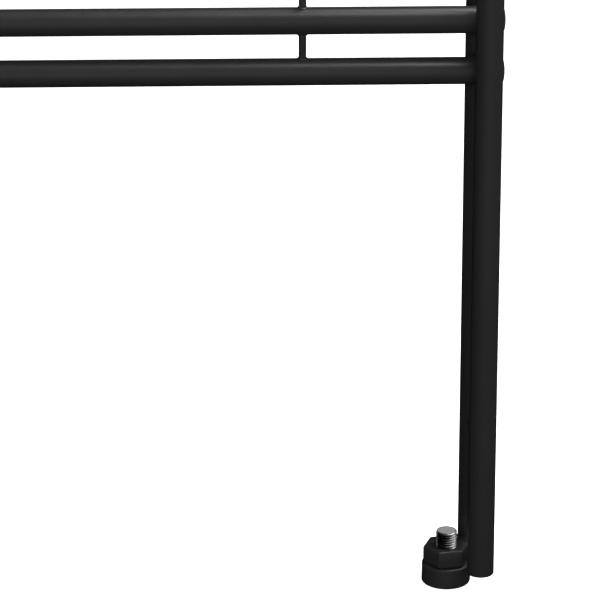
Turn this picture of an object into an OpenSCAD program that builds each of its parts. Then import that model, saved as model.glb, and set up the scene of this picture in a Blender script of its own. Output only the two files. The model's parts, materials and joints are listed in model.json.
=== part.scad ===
// Tubular steel bed frame: a headboard and a footboard panel, two side frames that stand
// behind the panel posts on screw feet, a centre beam with its own legs, and cross slats.
// Millimetres, +Z up, origin on the floor under the middle of the bed.
// -Y is the foot end and +X is the right-hand side seen from the foot.

/* [Bed] */
// Distance across the bed between the post axes
bed_w = 1540; // [1500:10:1600]
// Distance along the bed between the two end panels
bed_l = 2120; // [2110:10:2150]
// Height of the footboard posts above the floor
foot_h = 800; // [750:10:900]
// Height of the headboard posts above the floor
head_h = 1120; // [1000:10:1250]

/* [Panels] */
// Outside diameter of posts and legs
post_d = 25.4; // [25:0.1:26]
// Wall of posts and legs
post_wall = 1.5; // [1.4:0.1:2]
// Outside diameter of the panel rails
rail_d = 25; // [24:0.1:25]
// Wall of the panel rails
rail_wall = 1.2; // [1:0.1:1.5]
// Height of the lowest rail's axis above the floor
low_rail_z = 511; // [505:0.5:516]
// Distance between the two rails of a pair
rail_pitch = 48.3; // [46:0.1:52]
// Distance from the top of a post down to its top rail
top_drop = 24; // [20:1:40]
// Diameter of the upright rods
rod_d = 7; // [6:0.5:8]
// Distance from a post axis to its first upright rod
rod_inset = 167.8; // [150:0.1:200]
// Upright rods in one panel
rod_count = 5; // [3:2:7]
// Gap between the floor and the underside of the posts and legs
floor_gap = 20.8; // [20.4:0.1:21.2]

/* [Side frames] */
// How far a leg axis stands in from its post axis, across the bed
leg_in_x = 5.85; // [5.5:0.05:6.2]
// Width of the rectangular side rails and centre beam
beam_w = 20; // [18:1:22]
// Height of the rectangular side rails and centre beam
beam_h = 40; // [38:1:44]
// Wall of the rectangular tubes
beam_wall = 1.5; // [1.2:0.1:2]
// Top of the side rails above the floor
beam_top = 586; // [582:1:592]

/* [Screw feet] */
// Turn of a foot round its leg, from the line across the bed
foot_turn = 40; // [38:1:42]
// Diameter of the foot disc
disc_d = 46.2; // [44:0.1:48]
// Height of the foot disc
disc_h = 20; // [18:0.1:20]
// Diameter of the screw
screw_d = 19.9; // [19.8:0.02:19.92]
// Width of the hexagon nut across its flats
nut_af = 39; // [37:0.5:40]
// Height of the hexagon nut
nut_h = 16.3; // [15:0.1:18]
// Underside of the nut above the floor
nut_z = 21.4; // [21:0.1:22]
// Height of the screw's top above the floor
screw_top = 52; // [48:1:54]

/* [Slats] */
// Number of cross slats
slat_count = 12; // [10:1:13]
// Width of a slat
slat_w = 60; // [50:5:70]
// Thickness of a slat
slat_t = 14; // [12:1:16]
// Distance from an end panel to the middle of the nearest slat
slat_end = 128; // [120:1:140]

/* [Hidden] */
CORNERS = ["foot_right", "foot_left", "head_right", "head_left"];
ENDS = ["foot", "head"];
SIDES = ["right", "left"];
RAILS = ["lowest", "lower", "upper", "top"];
BEAM_LEGS = ["foot", "middle", "head"];
SLATS = [for (i = [1:slat_count]) i];

$fn = 64;
steel_black = [0.07, 0.07, 0.075];
plastic_black = [0.03, 0.03, 0.032];
bolt_black = [0.1, 0.1, 0.105];
zinc_grey = [0.62, 0.63, 0.64];

post_r = post_d / 2;
post_bore_r = post_r - post_wall;
edge_r = 1.2;          // rounding of a post's lower edge
rail_r = rail_d / 2;
rail_bore_r = rail_r - rail_wall;
rod_r = rod_d / 2;
panel_x = bed_w / 2;
panel_y = bed_l / 2;
slack = 0.2;           // room round a bolt in its hole
over = 1;              // how far a cutting tool runs past a face

bolt_r = 4;            // M8 connector bolts
bolt_root = 0.3;       // how far a shank runs into its head
hex_key = 5;           // hexagon socket across its flats
hex_key_depth = 2.5;
insert_r = 5.5;
insert_len = 11;
insert_sunk = 1.3;     // how far an insert's end lies inside its tube's surface

rail_back = post_r + rail_r;             // the rails touch the backs of the posts
leg_in_y = rail_back + rail_r + post_r;  // and the legs touch the backs of the rails
rail_past = 12.4;      // how far the rails run past the post axes
rail_cap_edge = 0.4;
rail_cap_rise = 3.1;

leg_top = beam_top + 2;
leg_cap_t = 3;
post_cap_t = 2;
post_cap_rise = 6;
plug_len = 14;
stem_len = 12;

leg_dist = norm([leg_in_x, leg_in_y]);
leg_turn = atan2(leg_in_y, -leg_in_x);
low_bolt_z = 160;      // the bolt between leg and post
plate_bolt_z = [low_rail_z, low_rail_z + rail_pitch];
spacer_r = 8;
leg_head_r = 8;
leg_head_t = 3;
leg_head_skirt = 3;    // how far the head's saddle reaches round the leg
leg_bolt_in = 9;       // how far a bolt runs into its post or rail

foot_dist = post_r + nut_af / 2;         // the nut's flat touches the leg
foot_in_x = leg_in_x + foot_dist * cos(foot_turn);
foot_in_y = leg_in_y - foot_dist * sin(foot_turn);
nut_bore_r = screw_d / 2 + 0.05;
nut_bevel = 1.2;
screw_r = screw_d / 2;
screw_chamfer = 1.6;
screw_low = 6;         // lower end of the screw, inside the disc
disc_round = 1.7;
disc_crown = 1;

rod_step = (bed_w - 2 * rod_inset) / (rod_count - 1);
rods_x = [for (i = [0:rod_count - 1]) rod_inset - panel_x + i * rod_step];
rod_end = 5;           // how far the rods stop short of the outer rail axes

side_out = 3;          // how far a side rail's middle stands outside the leg axes
beam_bottom = beam_top - beam_h;
beam_mid = beam_top - beam_h / 2;
leg_x = panel_x - leg_in_x;
side_x = leg_x + side_out;
side_y = panel_y - leg_in_y;
slat_step = (bed_l - 2 * slat_end) / (slat_count - 1);
slat_cap_t = 2;
slat_wall = 1.2;
slat_x = side_x + beam_w / 2 - slat_cap_t;
slat_plug_t = 2;       // how deep a slat's end cap plugs in
slat_pilot_r = 2.4;    // slat screw and its hole in the side rail
slat_hole_r = 2.6;     // hole in a slat's lower wall
slat_access_r = 6.5;   // hole in a slat's upper wall, over the screw's head
slat_head_r = 5;
slat_head_t = 3;
slat_screw_len = 12;

plate_t = 4;           // beam bracket
plate_w = 70;
plate_bolt_x = 22;     // bracket bolts from the middle of the bed
plate_bolt_r = 3;
plate_head_r = 6;
plate_head_t = 4;
plate_bolt_in = 8;     // how far a bracket bolt runs into its rail
cradle_t = 3;
cradle_len = 50;
cradle_h = 29;
rail_y = panel_y - rail_back;
beam_end = rail_y - rail_r - plate_t;

beam_leg_y = 600;
beam_leg_plate = [40, 80, 3];
leg_screw_y = 28;
leg_screw_r = 3;
leg_screw_len = 10;
leg_screw_head_r = 6;
leg_screw_head_t = 4;
glide_h = 22;
glide_t = 2;
glide_floor = 5;

// Puts a shape drawn for the right-hand foot corner at the named corner.
module at_corner(name) {
    left = name == "foot_left" || name == "head_left";
    head = name == "head_right" || name == "head_left";
    mirror([left ? 1 : 0, 0, 0])
        mirror([0, head ? 1 : 0, 0])
            translate([panel_x, -panel_y, 0])
                children();
}

// Puts a shape drawn on the foot rails' axis at the named end.
module at_end(name) {
    mirror([0, name == "head" ? 1 : 0, 0]) translate([0, -rail_y, 0]) children();
}

module at_side(name) {
    mirror([name == "left" ? 1 : 0, 0, 0]) children();
}

function panel_h(end) = end == "foot" ? foot_h : head_h;
function corner_end(name) = name == "foot_right" || name == "foot_left" ? "foot" : "head";
function rail_heights(end) = [
    low_rail_z,
    low_rail_z + rail_pitch,
    panel_h(end) - top_drop - rail_pitch,
    panel_h(end) - top_drop];

// A round bar along X, Y or Z, centred on the origin.
module bar_x(r, length) { rotate([0, 90, 0]) cylinder(r = r, h = length, center = true); }

// Everything below stands on the post axis, with the bed towards -X and +Y.
module on_leg_axis() { translate([-leg_in_x, leg_in_y, 0]) children(); }
module on_rail_axis(z) { translate([-leg_in_x, rail_back, z]) rotate([0, 0, 90]) children(); }
module on_foot_axis() { translate([-foot_in_x, foot_in_y, 0]) children(); }

// Points the local +X from the post axis to the leg axis.
module towards_leg(z) { translate([0, 0, z]) rotate([0, 0, leg_turn]) children(); }

// An upright tube with a small rounding on the outside of its lower edge.
module upright_tube(low, high) {
    rotate_extrude()
        polygon(concat(
            [[post_bore_r, low]],
            [for (a = [-90:30:0])
                [post_r - edge_r + edge_r * cos(a), low + edge_r + edge_r * sin(a)]],
            [[post_r, high], [post_bore_r, high]]));
}

module post(corner) {
    color(steel_black)
        at_corner(corner)
            difference() {
                upright_tube(floor_gap, panel_h(corner_end(corner)));
                towards_leg(low_bolt_z)
                    translate([post_r, 0, 0]) bar_x(insert_r, post_d);
            }
}

module leg(corner) {
    color(steel_black)
        at_corner(corner)
            difference() {
                on_leg_axis() upright_tube(floor_gap, leg_top);
                towards_leg(low_bolt_z)
                    translate([leg_dist, 0, 0]) bar_x(bolt_r + slack, post_d + 2 * over);
                on_rail_axis(low_rail_z)
                    translate([rail_back, 0, 0]) bar_x(bolt_r + slack, post_d + 2 * over);
            }
}

module rod_set(end) {
    heights = rail_heights(end);
    low = heights[0] + rod_end;
    high = heights[3] - rod_end;
    at_end(end)
        for (x = rods_x)
            translate([x, 0, low]) cylinder(r = rod_r, h = high - low);
}

module rods(end) { color(steel_black) rod_set(end); }

// A rail is one tube across the backs of both posts, drilled for the rods. The two lowest
// rails are also drilled for the bracket bolts, and the lowest for the leg bolts' inserts.
module panel_rail(end, index) {
    z = rail_heights(end)[index];
    rail_len = 2 * (panel_x + rail_past);
    color(steel_black)
        difference() {
            at_end(end) translate([0, 0, z]) bar_x(rail_r, rail_len);
            at_end(end) translate([0, 0, z]) bar_x(rail_bore_r, rail_len + 2 * over);
            rod_set(end);
            if (index < 2) at_end(end) bracket_bolt_shanks(z, rail_d);
            if (index == 0)
                for (c = CORNERS)
                    if (corner_end(c) == end)
                        at_corner(c) on_rail_axis(z) translate([rail_r, 0, 0]) bar_x(insert_r, rail_d);
        }
}

// Domed caps with stems close the ends of the rails.
module rail_caps() {
    color(plastic_black)
        for (c = CORNERS, z = rail_heights(corner_end(c)))
            at_corner(c)
                translate([rail_past, rail_back, z])
                    rotate([0, 90, 0]) dome_cap(rail_r, rail_bore_r, 0, rail_cap_edge, rail_cap_rise);
}

module hex_socket() {
    rotate([0, 90, 0]) cylinder(d = hex_key / cos(30), h = hex_key_depth + over, $fn = 6);
}

// A threaded bush whose outer end lies just inside the surface of a tube of radius r.
module insert(r) {
    translate([r - insert_sunk - insert_len / 2, 0, 0])
        difference() {
            bar_x(insert_r, insert_len);
            bar_x(bolt_r, insert_len + 2 * over);
        }
}

module rail_inserts() {
    color(zinc_grey)
        for (c = CORNERS)
            at_corner(c) on_rail_axis(low_rail_z) insert(rail_r);
}

// A sleeve between post and leg, coped to both.
module leg_spacers() {
    color(steel_black)
        for (c = CORNERS)
            at_corner(c)
                towards_leg(low_bolt_z)
                    difference() {
                        translate([leg_dist / 2, 0, 0]) bar_x(spacer_r, leg_dist - post_r);
                        translate([leg_dist / 2, 0, 0]) bar_x(insert_r, leg_dist);
                        cylinder(r = post_r, h = 4 * spacer_r, center = true);
                        translate([leg_dist, 0, 0])
                            cylinder(r = post_r, h = 4 * spacer_r, center = true);
                    }
}

module post_inserts() {
    color(zinc_grey)
        for (c = CORNERS)
            at_corner(c) towards_leg(low_bolt_z) insert(post_r);
}

// A bolt along +X from `tip` through a leg whose axis stands at `dist`, its head on the leg's back.
module leg_bolt(tip, dist) {
    back = dist + post_r;
    difference() {
        union() {
            translate([tip, 0, 0]) rotate([0, 90, 0]) cylinder(r = bolt_r, h = back - tip + bolt_root);
            difference() {
                translate([back - leg_head_skirt, 0, 0])
                    rotate([0, 90, 0]) cylinder(r = leg_head_r, h = leg_head_t + leg_head_skirt);
                translate([dist, 0, 0]) cylinder(r = post_r, h = 4 * leg_head_r, center = true);
            }
        }
        translate([back + leg_head_t - hex_key_depth, 0, 0]) hex_socket();
    }
}

// One bolt holds each leg to the lowest rail and one holds it to its post.
module leg_bolts() {
    color(bolt_black)
        for (c = CORNERS)
            at_corner(c) {
                on_rail_axis(low_rail_z) leg_bolt(rail_r - leg_bolt_in, rail_back);
                towards_leg(low_bolt_z) leg_bolt(post_r - leg_bolt_in, leg_dist);
            }
}

// The hexagon nut is welded to the side of the leg, one flat towards it. Its upper edges are
// bevelled along all six flats.
module foot_nuts() {
    corner_r = nut_af / 2 / cos(30);
    color(steel_black)
        for (c = CORNERS)
            at_corner(c)
                on_foot_axis()
                    translate([0, 0, nut_z])
                        rotate([0, 0, foot_turn + 30])
                            difference() {
                                union() {
                                    cylinder(r = corner_r, h = nut_h - nut_bevel, $fn = 6);
                                    translate([0, 0, nut_h - nut_bevel])
                                        cylinder(r1 = corner_r, r2 = corner_r - nut_bevel / cos(30),
                                                 h = nut_bevel, $fn = 6);
                                }
                                translate([0, 0, -over]) cylinder(r = nut_bore_r, h = nut_h + 2 * over);
                            }
}

module foot_screw(corner) {
    color(zinc_grey)
        at_corner(corner)
            on_foot_axis()
                rotate_extrude()
                    polygon([
                        [0, screw_low],
                        [screw_r, screw_low],
                        [screw_r, screw_top - screw_chamfer],
                        [screw_r - screw_chamfer, screw_top],
                        [0, screw_top]]);
}

module foot_disc(corner) {
    r = disc_d / 2;
    socket_r = screw_r + 0.05;
    color(plastic_black)
        at_corner(corner)
            on_foot_axis()
                rotate_extrude()
                    polygon(concat(
                        [[0, 0]],
                        [for (a = [-90:30:0])
                            [r - disc_round + disc_round * cos(a), disc_round + disc_round * sin(a)]],
                        [for (a = [0:30:90])
                            [r - disc_round + disc_round * cos(a), disc_h - disc_round + disc_round * sin(a)]],
                        [[socket_r, disc_h], [socket_r, screw_low], [0, screw_low]]));
}

// A rectangular tube along Y between the two legs of one side, coped to both.
module side_rail(side) {
    color(steel_black)
        at_side(side)
            translate([side_x, 0, beam_mid])
                difference() {
                    cube([beam_w, 2 * side_y, beam_h], center = true);
                    cube([beam_w - 2 * beam_wall, 2 * side_y + over, beam_h - 2 * beam_wall],
                         center = true);
                    for (y = [-side_y, side_y])
                        translate([-side_out, y, 0])
                            cylinder(r = post_r, h = 2 * beam_h, center = true);
                    for (i = SLATS)
                        translate([0, slat_y(i), beam_h / 2])
                            cylinder(r = slat_pilot_r, h = 4 * beam_wall, center = true);
                }
}

function slat_y(i) = slat_end - panel_y + (i - 1) * slat_step;
module slat(i) {
    color(steel_black)
        translate([0, slat_y(i), beam_top + slat_t / 2])
            difference() {
                cube([2 * slat_x, slat_w, slat_t], center = true);
                cube([2 * slat_x + over, slat_w - 2 * slat_wall, slat_t - 2 * slat_wall], center = true);
                for (x = [-side_x, side_x]) {
                    translate([x, 0, -slat_t / 2])
                        cylinder(r = slat_hole_r, h = 4 * slat_wall, center = true);
                    translate([x, 0, slat_t / 2])
                        cylinder(r = slat_access_r, h = 4 * slat_wall, center = true);
                }
            }
}

// An end cap covers the slat's cut end and plugs into it.
module slat_caps() {
    color(plastic_black)
        for (s = SIDES, i = SLATS)
            at_side(s)
                translate([slat_x, slat_y(i), beam_top + slat_t / 2]) {
                    translate([slat_cap_t / 2, 0, 0]) cube([slat_cap_t, slat_w, slat_t], center = true);
                    translate([-slat_plug_t, slat_wall - slat_w / 2, slat_wall - slat_t / 2])
                        cube([slat_plug_t + over, slat_w - 2 * slat_wall, slat_t - 2 * slat_wall]);
                }
}

module slat_screws() {
    color(zinc_grey)
        for (x = [-side_x, side_x], i = SLATS)
            translate([x, slat_y(i), beam_top + slat_wall]) {
                cylinder(r = slat_head_r, h = slat_head_t);
                translate([0, 0, -slat_screw_len]) cylinder(r = slat_pilot_r, h = slat_screw_len + over);
            }
}

module centre_beam() {
    color(steel_black)
        translate([0, 0, beam_mid])
            difference() {
                cube([beam_w, 2 * beam_end, beam_h], center = true);
                cube([beam_w - 2 * beam_wall, 2 * beam_end + over, beam_h - 2 * beam_wall], center = true);
                for (y = [-beam_leg_y, 0, beam_leg_y])
                    translate([0, y, -beam_h / 2])
                        leg_screw_places() cylinder(r = leg_screw_r, h = 4 * beam_wall, center = true);
            }
}

// The shanks of the two bracket bolts at one height, running on past the plate by `past`.
module bracket_bolt_shanks(z, past) {
    for (x = [-plate_bolt_x, plate_bolt_x])
        translate([x, rail_r - plate_bolt_in, z])
            rotate([-90, 0, 0]) cylinder(r = plate_bolt_r, h = plate_bolt_in + past);
}

module bracket_bolts() {
    color(bolt_black)
        for (e = ENDS, z = plate_bolt_z)
            at_end(e) {
                bracket_bolt_shanks(z, plate_t + bolt_root);
                for (x = [-plate_bolt_x, plate_bolt_x])
                    translate([x, rail_r + plate_t, z])
                        rotate([-90, 0, 0]) cylinder(r = plate_head_r, h = plate_head_t, $fn = 6);
            }
}

// A plate against both lower rails, with an open-topped cradle for the beam's end.
module beam_bracket(end) {
    low = low_rail_z - rail_r;
    color(steel_black)
        at_end(end) {
            difference() {
                translate([-plate_w / 2, rail_r, low]) cube([plate_w, plate_t, beam_top - low]);
                for (z = plate_bolt_z) bracket_bolt_shanks(z, plate_t + over);
            }
            difference() {
                translate([-beam_w / 2 - cradle_t, rail_r + plate_t - over, beam_bottom - cradle_t])
                    cube([beam_w + 2 * cradle_t, cradle_len + over, cradle_h + cradle_t]);
                translate([-beam_w / 2, rail_r + plate_t, beam_bottom])
                    cube([beam_w, cradle_len + over, beam_h]);
            }
        }
}

module beam_leg(name) {
    y = name == "foot" ? -beam_leg_y : name == "head" ? beam_leg_y : 0;
    color(steel_black)
        translate([0, y, 0]) {
            difference() {
                translate([0, 0, glide_floor]) cylinder(r = post_r, h = beam_bottom - glide_floor - 1);
                translate([0, 0, glide_floor - over]) cylinder(r = post_bore_r, h = beam_bottom);
            }
            translate([0, 0, beam_bottom - beam_leg_plate[2] / 2])
                difference() {
                    cube(beam_leg_plate, center = true);
                    leg_screw_places() cylinder(r = leg_screw_r, h = 2 * beam_leg_plate[2], center = true);
                }
        }
}

module leg_screw_places() {
    for (y = [-leg_screw_y, leg_screw_y]) translate([0, y, 0]) children();
}

module beam_leg_screws() {
    color(bolt_black)
        for (y = [-beam_leg_y, 0, beam_leg_y])
            translate([0, y, beam_bottom - beam_leg_plate[2]])
                leg_screw_places() {
                    cylinder(r = leg_screw_r, h = leg_screw_len);
                    translate([0, 0, -leg_screw_head_t])
                        cylinder(r = leg_screw_head_r, h = leg_screw_head_t, $fn = 6);
                }
}

module beam_glides() {
    color(plastic_black)
        for (y = [-beam_leg_y, 0, beam_leg_y])
            translate([0, y, 0])
                difference() {
                    cylinder(r = post_r + glide_t, h = glide_h);
                    translate([0, 0, glide_floor]) cylinder(r = post_r, h = glide_h);
                }
}

// A domed cap for a tube of radius r, with a stem of radius bore_r inside it.
module dome_cap(r, bore_r, top, edge, rise) {
    rotate_extrude()
        polygon(concat(
            [[0, top - stem_len], [bore_r, top - stem_len], [bore_r, top], [r, top]],
            [for (i = [0:6]) [r * cos(i * 15), top + edge + rise * sin(i * 15)]]));
}

module post_caps() {
    color(plastic_black)
        for (c = CORNERS)
            at_corner(c)
                dome_cap(post_r, post_bore_r, panel_h(corner_end(c)), post_cap_t, post_cap_rise);
}

module leg_caps() {
    color(plastic_black)
        for (c = CORNERS)
            at_corner(c) on_leg_axis() dome_cap(post_r, post_bore_r, leg_top, 1, leg_cap_t - 1);
}

// Discs pressed into the lower ends of the posts and legs.
module end_plugs() {
    color(plastic_black)
        for (c = CORNERS)
            at_corner(c)
                translate([0, 0, floor_gap + 0.5]) {
                    cylinder(r = post_bore_r, h = plug_len);
                    on_leg_axis() cylinder(r = post_bore_r, h = plug_len);
                }
}

for (c = CORNERS) post(c);
for (c = CORNERS) leg(c);
for (c = CORNERS) foot_screw(c);
for (c = CORNERS) foot_disc(c);
for (e = ENDS, r = [0:3]) panel_rail(e, r);
for (e = ENDS) rods(e);
for (s = SIDES) side_rail(s);
for (e = ENDS) beam_bracket(e);
for (b = BEAM_LEGS) beam_leg(b);
for (i = SLATS) slat(i);
centre_beam();
foot_nuts();
post_caps();
leg_caps();
end_plugs();
beam_glides();
rail_caps();
rail_inserts();
leg_bolts();
leg_spacers();
post_inserts();
slat_caps();
slat_screws();
bracket_bolts();
beam_leg_screws();
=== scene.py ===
"""A tubular steel bed frame in satin black powder coat, standing on four screw feet.

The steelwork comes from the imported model. Its round tubes, rods, rails, caps, nuts, screws and discs
are remade here as fine surfaces on the same axes and sizes, with cut threads and rounded edges, and
weld beads are added. Slats, brackets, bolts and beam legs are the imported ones. Every surface gets a
finish worked out from noise on its Object coordinates. Metres, +Z up, -Y at the foot end.
"""
import json
import math

import bmesh
import bpy
import numpy as np
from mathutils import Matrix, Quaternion, Vector


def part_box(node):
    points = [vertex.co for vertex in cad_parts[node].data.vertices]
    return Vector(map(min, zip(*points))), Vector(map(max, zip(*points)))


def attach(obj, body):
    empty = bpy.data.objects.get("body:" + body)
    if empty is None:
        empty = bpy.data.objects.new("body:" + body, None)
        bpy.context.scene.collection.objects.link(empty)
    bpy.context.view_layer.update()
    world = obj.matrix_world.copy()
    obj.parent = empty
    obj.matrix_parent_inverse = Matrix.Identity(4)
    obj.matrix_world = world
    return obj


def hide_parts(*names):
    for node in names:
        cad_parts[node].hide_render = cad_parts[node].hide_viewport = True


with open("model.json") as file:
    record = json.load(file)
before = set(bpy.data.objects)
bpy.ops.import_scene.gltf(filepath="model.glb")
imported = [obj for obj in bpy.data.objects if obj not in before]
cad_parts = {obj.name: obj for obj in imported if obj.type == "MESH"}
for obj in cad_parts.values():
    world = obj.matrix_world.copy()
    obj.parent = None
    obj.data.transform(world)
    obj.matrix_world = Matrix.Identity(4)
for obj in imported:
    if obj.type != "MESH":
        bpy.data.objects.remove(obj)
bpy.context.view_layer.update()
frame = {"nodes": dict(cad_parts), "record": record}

MM = 0.001
TUBE_WALL = 1.5 * MM          # posts and legs
RAIL_WALL = 1.2 * MM          # panel rails
RODS_A_PANEL = 5
POST_CAP_EDGE = 2 * MM        # straight edge of a cap below its dome
LEG_CAP_EDGE = 1 * MM
RAIL_CAP_EDGE = 0.4 * MM
LEG_PLATE = 3 * MM            # plate on top of a centre beam leg
CRADLE_WALL = 3 * MM          # cradle that holds the centre beam's end
CRADLE_HEIGHT = 32 * MM
CORNERS = {"foot_right": (1, -1), "foot_left": (-1, -1), "head_right": (1, 1), "head_left": (-1, 1)}
ENDS = {"foot": -1, "head": 1}
RAILS = ("lowest", "lower", "upper", "top")
BEAM_LEGS = ("foot", "middle", "head")
TURN = 2 * math.pi


# ---------------------------------------------------------------- sizes read off the steelwork

def low(node):
    return np.array(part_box(node)[0])


def high(node):
    return np.array(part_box(node)[1])


def middle(node):
    return (low(node) + high(node)) / 2


def radius(node):
    """Half the width of an upright round piece."""
    return (high(node)[0] - low(node)[0]) / 2


def foot_places():
    """The four foot axes as (corner, x, y)."""
    return [(corner, *middle("foot_disc_" + corner)[:2]) for corner in CORNERS]


# ---------------------------------------------------------------- finishes

def new_material(name):
    """An empty node material with its shader and the Object coordinates it reads."""
    mat = bpy.data.materials.new(name)
    mat.use_nodes = True
    nodes = mat.node_tree.nodes
    coords = nodes.new("ShaderNodeTexCoord")
    return mat, mat.node_tree, nodes["Principled BSDF"], coords.outputs["Object"]


def noise(tree, coords, scale, detail=2.0, rough=0.5):
    """Fractal noise with so many features a metre."""
    node = tree.nodes.new("ShaderNodeTexNoise")
    node.inputs["Scale"].default_value = scale
    node.inputs["Detail"].default_value = detail
    node.inputs["Roughness"].default_value = rough
    tree.links.new(coords, node.inputs["Vector"])
    return node.outputs["Fac"]


def spread(tree, value, low_to, high_to, low_from=0.3, high_from=0.7):
    """Maps a value linearly from one range to another, held at both ends."""
    node = tree.nodes.new("ShaderNodeMapRange")
    node.inputs["From Min"].default_value = low_from
    node.inputs["From Max"].default_value = high_from
    node.inputs["To Min"].default_value = low_to
    node.inputs["To Max"].default_value = high_to
    tree.links.new(value, node.inputs["Value"])
    return node.outputs["Result"]


def two_tone(tree, value, dark, light):
    """A colour between dark and light."""
    node = tree.nodes.new("ShaderNodeMix")
    node.data_type = "RGBA"
    node.inputs["A"].default_value = (*dark, 1)
    node.inputs["B"].default_value = (*light, 1)
    tree.links.new(value, node.inputs["Factor"])
    return node.outputs["Result"]


def relief(tree, shader, heights, distance, strength):
    """Bump from the sum of several height signals."""
    total = heights[0]
    for extra in heights[1:]:
        add = tree.nodes.new("ShaderNodeMath")
        add.operation = "ADD"
        tree.links.new(total, add.inputs[0])
        tree.links.new(extra, add.inputs[1])
        total = add.outputs[0]
    bump = tree.nodes.new("ShaderNodeBump")
    bump.inputs["Distance"].default_value = distance
    bump.inputs["Strength"].default_value = strength
    tree.links.new(total, bump.inputs["Height"])
    tree.links.new(bump.outputs["Normal"], shader.inputs["Normal"])


def powder_coat(name, gloss=0.35, level=0.5):
    """Satin black polyester powder: slow orange peel, a fine grain, and faintly uneven gloss."""
    mat, tree, shader, coords = new_material(name)
    cloud = noise(tree, coords, 9, 3)
    peel = noise(tree, coords, 420, 1)
    grain = noise(tree, coords, 2600, 2)
    rubbed = noise(tree, coords, 55, 4, 0.65)
    tree.links.new(two_tone(tree, cloud, (0.021, 0.021, 0.0208), (0.025, 0.0248, 0.0244)),
                   shader.inputs["Base Color"])
    tree.links.new(spread(tree, rubbed, gloss - 0.035, gloss + 0.045), shader.inputs["Roughness"])
    shader.inputs["Specular IOR Level"].default_value = level
    relief(tree, shader, [peel, spread(tree, grain, 0, 0.12, 0, 1)], 0.00006, 0.5)
    return mat


def black_bolt():
    """Black-coated bolt steel, a little glossier than the tubes round it."""
    mat, tree, shader, coords = new_material("black bolt steel")
    mottle = noise(tree, coords, 160, 4)
    grain = noise(tree, coords, 3200, 2)
    tree.links.new(two_tone(tree, mottle, (0.018, 0.018, 0.0184), (0.026, 0.026, 0.026)),
                   shader.inputs["Base Color"])
    tree.links.new(spread(tree, mottle, 0.28, 0.4), shader.inputs["Roughness"])
    relief(tree, shader, [grain], 0.00003, 0.4)
    return mat


def zinc_steel():
    """Dull zinc plate: spangled grey with fine turning marks and a soft sheen."""
    mat, tree, shader, coords = new_material("zinc plated steel")
    spangle = noise(tree, coords, 260, 5, 0.7)
    grain = noise(tree, coords, 1900, 3)
    shader.inputs["Metallic"].default_value = 1.0
    tree.links.new(two_tone(tree, spangle, (0.44, 0.44, 0.45), (0.64, 0.64, 0.65)),
                   shader.inputs["Base Color"])
    tree.links.new(spread(tree, grain, 0.3, 0.44), shader.inputs["Roughness"])
    relief(tree, shader, [grain], 0.00003, 0.5)
    return mat


def moulded_plastic(name, gloss, grain_scale):
    """Moulded black plastic: an even spark-eroded grain over slight flow clouds."""
    mat, tree, shader, coords = new_material(name)
    flow = noise(tree, coords, 30, 3)
    grain = noise(tree, coords, grain_scale, 2)
    tree.links.new(two_tone(tree, flow, (0.02, 0.02, 0.02), (0.0245, 0.0243, 0.0239)),
                   shader.inputs["Base Color"])
    tree.links.new(spread(tree, flow, gloss - 0.03, gloss + 0.05), shader.inputs["Roughness"])
    relief(tree, shader, [grain], 0.00005, 0.45)
    return mat


FINISH = {
    "powder_coat": powder_coat("satin black powder coat"),
    "black_bolts": black_bolt(),
    "zinc_steel": zinc_steel(),
    "foot_plastic": moulded_plastic("moulded foot plastic", 0.38, 2100),
    "cap_plastic": moulded_plastic("moulded cap plastic", 0.45, 2600),
}


# ---------------------------------------------------------------- surfaces

def grid_faces(rows, columns, loop=False):
    """Quads over a grid of points whose rows are closed rings; loop joins the last row to the first."""
    r, c = np.meshgrid(np.arange(rows if loop else rows - 1), np.arange(columns), indexing="ij")
    up, nxt = (r + 1) % rows, (c + 1) % columns
    quads = [r * columns + c, r * columns + nxt, up * columns + nxt, up * columns + c]
    return np.stack(quads, -1).reshape(-1, 4)


def facing_out(points, faces):
    """The shape with its faces turned outward: the volume under them, about the middle, is positive."""
    p = (points - points.mean(0))[faces]
    volume = np.einsum("ij,ij->i", p[:, 0], np.cross(p[:, 1], p[:, 2]) + np.cross(p[:, 2], p[:, 3])).sum()
    return points, (faces if volume > 0 else faces[:, ::-1])


def make_mesh(name, shapes, slot, body="frame", nodes=(), sharp=35):
    """One piece from several (points, faces) shapes, welded at seams and poles, in place of nodes."""
    points, faces, start = [], [], 0
    for p, f in shapes:
        points.append(p)
        faces.append(f + start)
        start += len(p)
    points, faces = np.concatenate(points), np.concatenate(faces)
    mesh = bpy.data.meshes.new(name)
    mesh.vertices.add(len(points))
    mesh.vertices.foreach_set("co", points.astype(np.float32).ravel())
    mesh.loops.add(faces.size)
    mesh.loops.foreach_set("vertex_index", faces.astype(np.int32).ravel())
    mesh.polygons.add(len(faces))
    mesh.polygons.foreach_set("loop_start", np.arange(0, faces.size, 4, dtype=np.int32))
    mesh.update(calc_edges=True)
    joined = bmesh.new()
    joined.from_mesh(mesh)
    bmesh.ops.remove_doubles(joined, verts=joined.verts, dist=1e-7)
    joined.to_mesh(mesh)
    joined.free()
    mesh.polygons.foreach_set("use_smooth", np.ones(len(mesh.polygons), dtype=bool))
    mesh.set_sharp_from_angle(angle=math.radians(sharp))
    mesh.materials.append(FINISH[slot])
    piece = bpy.data.objects.new(name, mesh)
    bpy.context.scene.collection.objects.link(piece)
    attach(piece, body)
    for node in nodes:
        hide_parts(node)
    return piece


def turned(profile, steps=72, loop=False):
    """A profile of (radius, height) pairs carried round +Z: x = r cos a, y = r sin a."""
    profile = np.asarray(profile, dtype=float)
    angle = np.linspace(0, TURN, steps, endpoint=False)
    r, a = np.meshgrid(profile[:, 0], angle, indexing="ij")
    z = np.repeat(profile[:, 1:2], steps, axis=1)
    points = np.stack([r * np.cos(a), r * np.sin(a), z], -1).reshape(-1, 3)
    return facing_out(points, grid_faces(len(profile), steps, loop))


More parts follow.
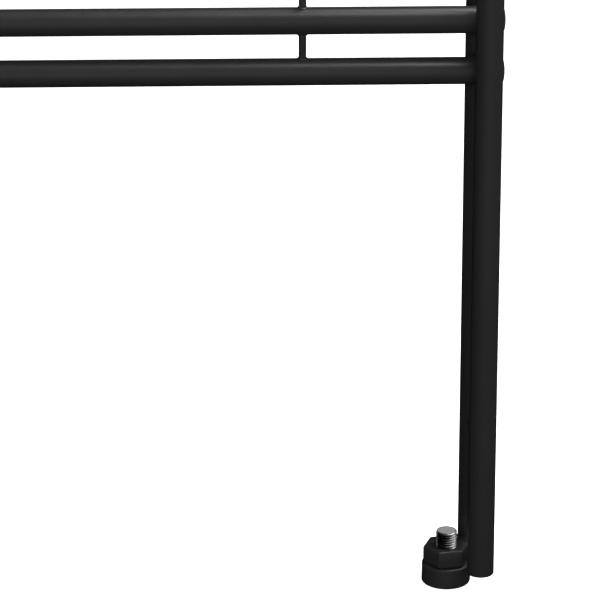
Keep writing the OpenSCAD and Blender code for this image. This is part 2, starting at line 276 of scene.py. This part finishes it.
def arc(centre, size, start, end, count=6):
    """Points on an arc from start to end, in degrees, as (radius, height) pairs."""
    a = np.radians(np.linspace(start, end, count))
    return [(centre[0] + size * math.cos(t), centre[1] + size * math.sin(t)) for t in a]


def moved(shape, by):
    return shape[0] + np.asarray(by, dtype=float), shape[1]


def laid_along_x(shape, side=1):
    """Lays a shape's +Z along +X, or along -X when side is -1."""
    x, y, z = shape[0].T
    return facing_out(np.stack([side * z, y, x], -1), shape[1])


def sweep(path, size, normal, closed=False, ripple=0.1, step=1.7 * MM, sides=10):
    """A round bead along a path. Its radius swells and shrinks once every step like the ripples of a
    weld, r = size (1 + ripple sin(length / step)), and runs out to nothing at the ends of an open path."""
    path = np.asarray(path, dtype=float)
    if closed:
        ahead = np.roll(path, -1, axis=0) - np.roll(path, 1, axis=0)
    else:
        ahead = np.gradient(path, axis=0)
    ahead /= np.linalg.norm(ahead, axis=1, keepdims=True)
    across = np.cross(ahead, normal)
    across /= np.linalg.norm(across, axis=1, keepdims=True)
    up = np.cross(across, ahead)
    length = np.concatenate([[0], np.cumsum(np.linalg.norm(np.diff(path, axis=0), axis=1))])
    r = size * (1 + ripple * np.sin(TURN * length / step))
    if not closed:
        s = 2 * length / length[-1] - 1
        r = r * np.sqrt(np.clip(1 - s ** 8, 0, 1))
    a = np.linspace(0, TURN, sides, endpoint=False)[None, :, None]
    points = path[:, None] + r[:, None, None] * (np.cos(a) * across[:, None] + np.sin(a) * up[:, None])
    return facing_out(points.reshape(-1, 3), grid_faces(len(path), sides, closed))


# ---------------------------------------------------------------- tubes, rods and caps

def tube_profile(outer, bore, bottom, top, edge=1.2 * MM):
    """The closed section of an upright tube, its outer lower edge rounded."""
    return [(bore, bottom)] + arc((outer - edge, bottom + edge), edge, -90, 0) + [(outer, top), (bore, top)]


def uprights():
    """Posts and legs as fine round tubes."""
    for kind in ("post", "leg"):
        for corner in CORNERS:
            node = f"{kind}_{corner}"
            r = radius(node)
            profile = tube_profile(r, r - TUBE_WALL, low(node)[2], high(node)[2])
            at = (*middle(node)[:2], 0)
            make_mesh(f"fine_{node}", [moved(turned(profile, 144, True), at)], "powder_coat", nodes=[node])


def rails():
    """The eight panel rails, each one tube along X."""
    for end in ENDS:
        for rail in RAILS:
            node = f"{end}_rail_{rail}"
            half = (high(node)[0] - low(node)[0]) / 2
            r = (high(node)[2] - low(node)[2]) / 2
            profile = [(r - RAIL_WALL, -half), (r, -half), (r, half), (r - RAIL_WALL, half)]
            shape = laid_along_x(turned(profile, 144, True))
            make_mesh(f"fine_{node}", [moved(shape, (0, *middle(node)[1:]))], "powder_coat", nodes=[node])


def rod_places(end):
    """The middles of one panel's rods across the bed, evenly spaced."""
    node = end + "_rods"
    r = (high(node)[1] - low(node)[1]) / 2
    return np.linspace(low(node)[0] + r, high(node)[0] - r, RODS_A_PANEL), r


def rods():
    """The upright rods, solid bars whose ends lie inside the outer rails."""
    for end in ENDS:
        node = end + "_rods"
        places, r = rod_places(end)
        bottom, top = low(node)[2], high(node)[2]
        bar = turned([(0, bottom), (r, bottom), (r, top), (0, top)], 48)
        make_mesh(f"fine_{node}", [moved(bar, (x, middle(node)[1], 0)) for x in places],
                  "powder_coat", nodes=[node])


def domed(r, edge, rise):
    """A cap over a tube's end at height 0: a short edge, then an elliptic dome r cos t, rise sin t."""
    t = np.radians(np.linspace(0, 90, 16))
    dome = [(r * math.cos(a), edge + rise * math.sin(a)) for a in t[:-1]] + [(0, edge + rise)]
    return turned([(0, 0), (r, 0)] + dome, 96)


def caps():
    """Domed plastic caps on the posts, the legs and the ends of the rails."""
    for kind, edge in (("post", POST_CAP_EDGE), ("leg", LEG_CAP_EDGE)):
        top = {c: high(f"{kind}_{c}")[2] for c in CORNERS}
        shapes = []
        for corner in CORNERS:
            node = f"{kind}_{corner}"
            rise = high(f"{kind}_caps")[2] - max(top.values()) - edge
            shapes.append(moved(domed(radius(node), edge, rise), (*middle(node)[:2], top[corner])))
        make_mesh(f"fine_{kind}_caps", shapes, "cap_plastic", nodes=[f"{kind}_caps"])
    shapes = []
    for end in ENDS:
        for rail in RAILS:
            node = f"{end}_rail_{rail}"
            r = (high(node)[2] - low(node)[2]) / 2
            rise = high("rail_caps")[0] - high(node)[0] - RAIL_CAP_EDGE
            for side in (-1, 1):
                at = (side * high(node)[0], *middle(node)[1:])
                shapes.append(moved(laid_along_x(domed(r, RAIL_CAP_EDGE, rise), side), at))
    make_mesh("fine_rail_caps", shapes, "cap_plastic", nodes=["rail_caps"])


def rounded_box_tube(x, z, half_w, half_h, corner=3 * MM, count=6):
    """The outline of a rectangular tube in the XZ plane, with rounded corners."""
    points = []
    for turn, (sx, sz) in enumerate([(1, 1), (-1, 1), (-1, -1), (1, -1)]):
        a = np.radians(90 * turn + np.linspace(0, 90, count))
        cx, cz = x + sx * (half_w - corner), z + sz * (half_h - corner)
        points += [(cx + corner * math.cos(t), cz + corner * math.sin(t)) for t in a]
    return np.array(points)


def leg_surface(outline, leg):
    """For each (x, z) of an outline, how far along Y from a leg's axis its surface stands."""
    return np.sqrt(np.clip(radius(leg) ** 2 - (outline[:, 0] - middle(leg)[0]) ** 2, 0, None))


def long_tubes():
    """The side rails, coped to the legs they run between, and the centre beam."""
    for side in ("right", "left"):
        node = "side_rail_" + side
        x, _, z = middle(node)
        half = (high(node) - low(node)) / 2
        outline = rounded_box_tube(x, z, half[0], half[2])
        reach = high(f"leg_head_{side}")[1] - radius(f"leg_head_{side}")
        y = reach - leg_surface(outline, "leg_head_" + side)
        rings = [np.stack([outline[:, 0], s * y, outline[:, 1]], -1) for s in (-1, -0.5, 0, 0.5, 1)]
        make_mesh(f"fine_{node}", [facing_out(np.concatenate(rings), grid_faces(5, len(outline)))],
                  "powder_coat", nodes=[node], sharp=50)
    node = "centre_beam"
    half = (high(node) - low(node)) / 2
    outline = rounded_box_tube(0, middle(node)[2], half[0], half[2])
    rings = [np.stack([outline[:, 0], np.full(len(outline), s * half[1]), outline[:, 1]], -1)
             for s in (-1, -0.5, 0, 0.5, 1)]
    make_mesh("fine_centre_beam", [facing_out(np.concatenate(rings), grid_faces(5, len(outline)))],
              "powder_coat", nodes=[node], sharp=50)


# ---------------------------------------------------------------- screw feet

PITCH = 2.5 * MM
THREAD = 1.45 * MM


def threaded_screw(r, bottom, top, chamfer=0.7 * MM, steps=96):
    """A right-hand thread. The ridge at angle a and height z has phase z / pitch - a / turn; the radius
    falls from r by the thread's depth over a clipped triangle wave of the phase, so crests and roots
    are flat, and near the top it is held under a 45 degree chamfer that ends in a flat face."""
    z = np.arange(bottom, top, 0.16 * MM)
    a = np.linspace(0, TURN, steps, endpoint=False)
    zz, aa = np.meshgrid(z, a, indexing="ij")
    phase = (zz / PITCH - aa / TURN) % 1
    wave = np.clip(1.5 * np.abs(2 * phase - 1) - 0.25, 0, 1)
    rr = np.minimum(r - THREAD * wave, r - chamfer + (top - zz))
    flat = (r - chamfer) * np.array([1, 0.97, 0.9, 0.6, 0.3, 0])
    drop = np.array([0.12, 0.03, 0, 0, 0, 0]) * MM
    rr = np.concatenate([np.zeros((1, steps)), rr, np.repeat(flat[:, None], steps, axis=1)])
    zz = np.concatenate([np.full((1, steps), bottom), zz, np.repeat((top - drop)[:, None], steps, axis=1)])
    aa = np.repeat(a[None], len(rr), axis=0)
    points = np.stack([rr * np.cos(aa), rr * np.sin(aa), zz], -1).reshape(-1, 3)
    return facing_out(points, grid_faces(len(rr), steps))


def hex_outline(apothem, turn, corner=0.7 * MM, per_corner=5, per_flat=6):
    """A hexagon with rounded corners: a smaller hexagon grown all round by the corner's radius."""
    points = []
    reach = (apothem - corner) / math.cos(math.radians(30))
    for k in range(6):
        mid = turn + k * TURN / 6
        centre = reach * np.array([math.cos(mid), math.sin(mid)])
        a = mid + np.radians(np.linspace(-30, 30, per_corner))
        here = centre + corner * np.stack([np.cos(a), np.sin(a)], -1)
        follow = mid + TURN / 6
        after = reach * np.array([math.cos(follow), math.sin(follow)])
        b = follow - math.radians(30)
        there = after + corner * np.array([math.cos(b), math.sin(b)])
        share = np.linspace(0, 1, per_flat + 1)[1:-1, None]
        points += list(here) + list(here[-1] + share * (there - here[-1]))
    return np.array(points)


def hex_nut(apothem, bore, bottom, top, turn):
    """A hexagon nut: bevels along its flats, and a shallow dish in the top face round the bore."""
    edge = hex_outline(apothem, turn)
    way = edge / np.linalg.norm(edge, axis=1, keepdims=True)
    rows = [(bore * way, bottom), (hex_outline(apothem - 0.8 * MM, turn), bottom),
            (hex_outline(apothem - 0.3 * MM, turn), bottom + 0.2 * MM), (edge, bottom + 0.8 * MM),
            (edge, top - 1.3 * MM), (hex_outline(apothem - 0.15 * MM, turn), top - 0.95 * MM),
            (hex_outline(apothem - 0.95 * MM, turn), top - 0.15 * MM),
            (hex_outline(apothem - 1.3 * MM, turn), top),
            ((bore + 4.2 * MM) * way, top), ((bore + 3.6 * MM) * way, top - 0.25 * MM),
            ((bore + 1.2 * MM) * way, top - 0.9 * MM), ((bore + 0.3 * MM) * way, top - 1.2 * MM),
            (bore * way, top - 1.8 * MM)]
    points = np.concatenate([np.column_stack([xy, np.full(len(xy), z)]) for xy, z in rows])
    return facing_out(points, grid_faces(len(rows), len(edge), True))


def feet():
    """Screws, discs and nuts. A foot's nut has one flat towards its leg."""
    nuts = []
    nut_low, nut_high = low("foot_nuts")[2], high("foot_nuts")[2]
    for corner, x, y in foot_places():
        screw, disc, leg = "foot_screw_" + corner, "foot_disc_" + corner, middle("leg_" + corner)
        r, bottom, top = radius(screw), low(screw)[2], high(screw)[2]
        make_mesh(f"fine_{screw}", [moved(threaded_screw(r, bottom, top), (x, y, 0))],
                  "zinc_steel", "screw_" + corner, [screw], sharp=70)
        rd, high_z, edge = radius(disc), high(disc)[2], 1.9 * MM
        profile = ([(0, 0.3 * MM), (rd - 4 * MM, 0.3 * MM), (rd - 3.5 * MM, 0)]
                   + arc((rd - edge, edge), edge, -90, 0, 8)
                   + arc((rd - edge, high_z - edge), edge, 0, 90, 8)
                   + [(r + 1.2 * MM, high_z), (r + 0.2 * MM, high_z - 0.8 * MM)]
                   + [(r + 0.2 * MM, bottom), (0, bottom)])
        make_mesh(f"fine_{disc}", [moved(turned(profile, 144), (x, y, 0))],
                  "foot_plastic", "disc_" + corner, [disc])
        apothem = math.hypot(leg[0] - x, leg[1] - y) - radius("leg_" + corner)
        towards = math.atan2(leg[1] - y, leg[0] - x)
        nut = hex_nut(apothem, r + 0.05 * MM, nut_low, nut_high, towards + TURN / 12)
        nuts.append(moved(nut, (x, y, 0)))
    make_mesh("fine_foot_nuts", nuts, "powder_coat", nodes=["foot_nuts"])


# ---------------------------------------------------------------- weld beads

def ring(at, outer, points=60):
    """A level circle of points."""
    a = np.linspace(0, TURN, points, endpoint=False)
    return np.stack([at[0] + outer * np.cos(a), at[1] + outer * np.sin(a), np.full(points, at[2])], -1)


def rod_welds():
    """Beads where the rods meet the rails: on the crossing curve, at angle a round the rod, the height
    over the rail's axis is the root of R squared less (r sin a) squared."""
    for end in ENDS:
        places, r = rod_places(end)
        shapes = []
        for index, rail in enumerate(RAILS):
            node = f"{end}_rail_{rail}"
            y, z = middle(node)[1:]
            outer = (high(node)[2] - low(node)[2]) / 2
            for way in [w for w in (-1, 1) if 0 <= index + w < len(RAILS)]:
                for x in places:
                    path = ring((x, y, z), r, 48)
                    path[:, 2] += way * np.sqrt(outer ** 2 - (path[:, 1] - y) ** 2)
                    shapes.append(sweep(path, 1.25 * MM, (0, 0, 1), True))
        make_mesh(f"{end}_rod_welds", shapes, "powder_coat", sharp=80)


def post_welds():
    """Beads where a rail touches a post: an oval round the point of contact, where the two round
    surfaces have come a bead's width apart."""
    shapes = []
    a = np.linspace(0, TURN, 56, endpoint=False)
    for corner, (sx, sy) in CORNERS.items():
        end = corner.split("_")[0]
        post = middle("post_" + corner)
        r = radius("post_" + corner)
        for rail in RAILS:
            z = middle(f"{end}_rail_{rail}")[2]
            x = 6.2 * MM * np.cos(a)
            y = post[1] - sy * (r + 0.05 * MM * np.cos(2 * a))
            path = np.stack([post[0] + x, y, z + 6.2 * MM * np.sin(a)], -1)
            shapes.append(sweep(path, 1.6 * MM, (0, 1, 0), True, sides=12))
    make_mesh("post_welds", shapes, "powder_coat", sharp=80)


def foot_welds():
    """Two upright beads in the notches between nut and leg, and one across the nut's top face."""
    shapes = []
    bottom, top = low("foot_nuts")[2], high("foot_nuts")[2]
    for corner, x, y in foot_places():
        leg, r = middle("leg_" + corner), radius("leg_" + corner)
        way = np.array([leg[0] - x, leg[1] - y])
        way /= np.linalg.norm(way)
        side = np.array([-way[1], way[0]])
        flat = leg[:2] - way * r
        z = np.linspace(bottom + 0.3 * MM, top - 0.3 * MM, 60)
        for s in (-1, 1):
            xy = flat + s * 4.4 * MM * side
            shapes.append(sweep(np.column_stack([np.tile(xy, (60, 1)), z]), 1.5 * MM, (*way, 0)))
        a = np.radians(np.linspace(-44, 44, 70))
        around = leg[:2] - r * (np.cos(a)[:, None] * way + np.sin(a)[:, None] * side)
        shapes.append(sweep(np.column_stack([around, np.full(70, top)]), 1.3 * MM, (0, 0, 1)))
    make_mesh("foot_welds", shapes, "powder_coat", sharp=80)


def deck_welds():
    """Beads round the coped ends of the side rails, the tops of the beam legs and the cradles."""
    shapes = []
    for side in ("right", "left"):
        node = "side_rail_" + side
        x, _, z = middle(node)
        half = (high(node) - low(node)) / 2
        outline = rounded_box_tube(x, z, half[0], half[2], count=8)
        gaps = np.linalg.norm(np.roll(outline, -1, axis=0) - outline, axis=1)
        along = np.concatenate([[0], np.cumsum(gaps)])
        ends = np.concatenate([outline, outline[:1]])
        even = np.linspace(0, along[-1], 160, endpoint=False)
        outline = np.stack([np.interp(even, along, ends[:, k]) for k in (0, 1)], -1)
        for end, sign in ENDS.items():
            leg = f"leg_{end}_{side}"
            y = middle(leg)[1] - sign * leg_surface(outline, leg)
            path = np.stack([outline[:, 0], y, outline[:, 1]], -1)
            shapes.append(sweep(path, 1.4 * MM, (0, 1, 0), True))
    for name in BEAM_LEGS:
        node = "beam_leg_" + name
        at = (*middle(node)[:2], high(node)[2] - LEG_PLATE)
        shapes.append(sweep(ring(at, radius("post_foot_right"), 72), 1.8 * MM, (0, 0, 1), True))
    beam_low, beam_high = low("centre_beam"), high("centre_beam")
    z = np.linspace(beam_low[2] - CRADLE_WALL, beam_low[2] - CRADLE_WALL + CRADLE_HEIGHT, 50)
    for y in (beam_low[1], beam_high[1]):
        for x in (beam_low[0] - CRADLE_WALL, beam_high[0] + CRADLE_WALL):
            path = np.column_stack([np.full_like(z, x), np.full_like(z, y), z])
            shapes.append(sweep(path, 1.6 * MM, (0, 1, 0)))
    make_mesh("deck_welds", shapes, "powder_coat", sharp=80)


# ---------------------------------------------------------------- the light, floor and camera

def stage():
    """A pale glowing floor and a white world, which the camera sees and the steel doesn't mirror."""
    floor_mesh = bpy.data.meshes.new("floor")
    half = 60.0
    floor_mesh.from_pydata([(-half, -half, 0), (half, -half, 0), (half, half, 0), (-half, half, 0)],
                           [], [(0, 1, 2, 3)])
    floor = bpy.data.objects.new("floor", floor_mesh)
    bpy.context.scene.collection.objects.link(floor)
    mat, _, shader, _ = new_material("pale floor")
    shader.inputs["Base Color"].default_value = (0.8, 0.8, 0.8, 1)
    shader.inputs["Roughness"].default_value = 0.9
    shader.inputs["Specular IOR Level"].default_value = 0.0
    shader.inputs["Emission Color"].default_value = (1, 1, 1, 1)
    shader.inputs["Emission Strength"].default_value = 0.93
    floor_mesh.materials.append(mat)
    floor.visible_glossy = False
    floor.visible_diffuse = False

    world = bpy.data.worlds.new("studio")
    world.use_nodes = True
    world.node_tree.nodes["Background"].inputs["Color"].default_value = (1, 1, 1, 1)
    world.node_tree.nodes["Background"].inputs["Strength"].default_value = 1.0
    world.cycles_visibility.glossy = False
    world.cycles_visibility.diffuse = False
    bpy.context.scene.world = world


def softbox(name, place, aim, size, watts):
    """A rectangular area light at place, pointing at aim."""
    data = bpy.data.lights.new(name, "AREA")
    data.shape = "RECTANGLE"
    data.size, data.size_y = size
    data.energy = watts
    lamp = bpy.data.objects.new(name, data)
    bpy.context.scene.collection.objects.link(lamp)
    lamp.location = place
    lamp.rotation_mode = "QUATERNION"
    lamp.rotation_quaternion = (Vector(aim) - Vector(place)).to_track_quat("-Z", "Y")
    lamp.visible_camera = False
    return lamp


def camera():
    """Looks along the bed from the foot end, down at the right-hand foot corner."""
    axis = middle("post_foot_right")
    pitch, yaw, roll = math.radians(21.316), math.radians(1.673), math.radians(0.068)
    ahead = Vector((math.sin(yaw) * math.cos(pitch), math.cos(yaw) * math.cos(pitch), -math.sin(pitch)))
    data = bpy.data.cameras.new("camera")
    data.sensor_width = 36
    data.lens = 258
    data.clip_start, data.clip_end = 0.1, 400
    cam = bpy.data.objects.new("camera", data)
    bpy.context.scene.collection.objects.link(cam)
    cam.location = (axis[0] - 0.2779, axis[1] - 3.6795, 1.7351)
    cam.rotation_mode = "QUATERNION"
    cam.rotation_quaternion = ahead.to_track_quat("-Z", "Y") @ Quaternion((0, 0, 1), roll)
    bpy.context.scene.camera = cam


def lights():
    """A wide softbox over the footboard, and broad fills from the front and from behind that no surface
    mirrors. A card behind and a strip on the right reach the zinc screws alone, so the tubes' edges
    stay dark."""
    x, y = middle("post_foot_right")[:2]
    softbox("overhead", (x + 1.2, y + 0.05, 2.7), (x + 1.2, y + 0.05, 0.5), (2.2, 2.1), 125)
    fill = softbox("front fill", (x - 0.3, y - 5.0, 1.2), (x, y, 0.4), (7.0, 5.0), 345)
    fills = [fill] + [softbox(f"back fill {name}", (side * 5.5, 4.5, 2.0), (0, 0, 0.4), (6.0, 4.0), 240)
                      for name, side in (("right", 1), ("left", -1))]
    for lamp in fills:
        lamp.visible_glossy = False
    card = softbox("back card", (x - 0.2, y + 3.0, 1.3), (x, y, 0.05), (2.6, 1.6), 11)
    strip = softbox("right strip", (x + 1.6, y + 1.2, 0.9), (x, y, 0.2), (0.5, 1.2), 14)
    screws = bpy.data.collections.new("screws")
    for corner in CORNERS:
        screws.objects.link(bpy.data.objects["fine_foot_screw_" + corner])
    for lamp in (card, strip):
        lamp.light_linking.receiver_collection = screws


slot_of = {part["node"]: part["material_slot"] for part in frame["record"]["subparts"]}
for name, node in frame["nodes"].items():
    for place in range(len(node.material_slots)):
        node.material_slots[place].material = FINISH[slot_of[name]]

uprights()
rails()
rods()
caps()
long_tubes()
feet()
rod_welds()
post_welds()
foot_welds()
deck_welds()
camera()
stage()
lights()
bpy.context.scene.view_settings.view_transform = "Standard"
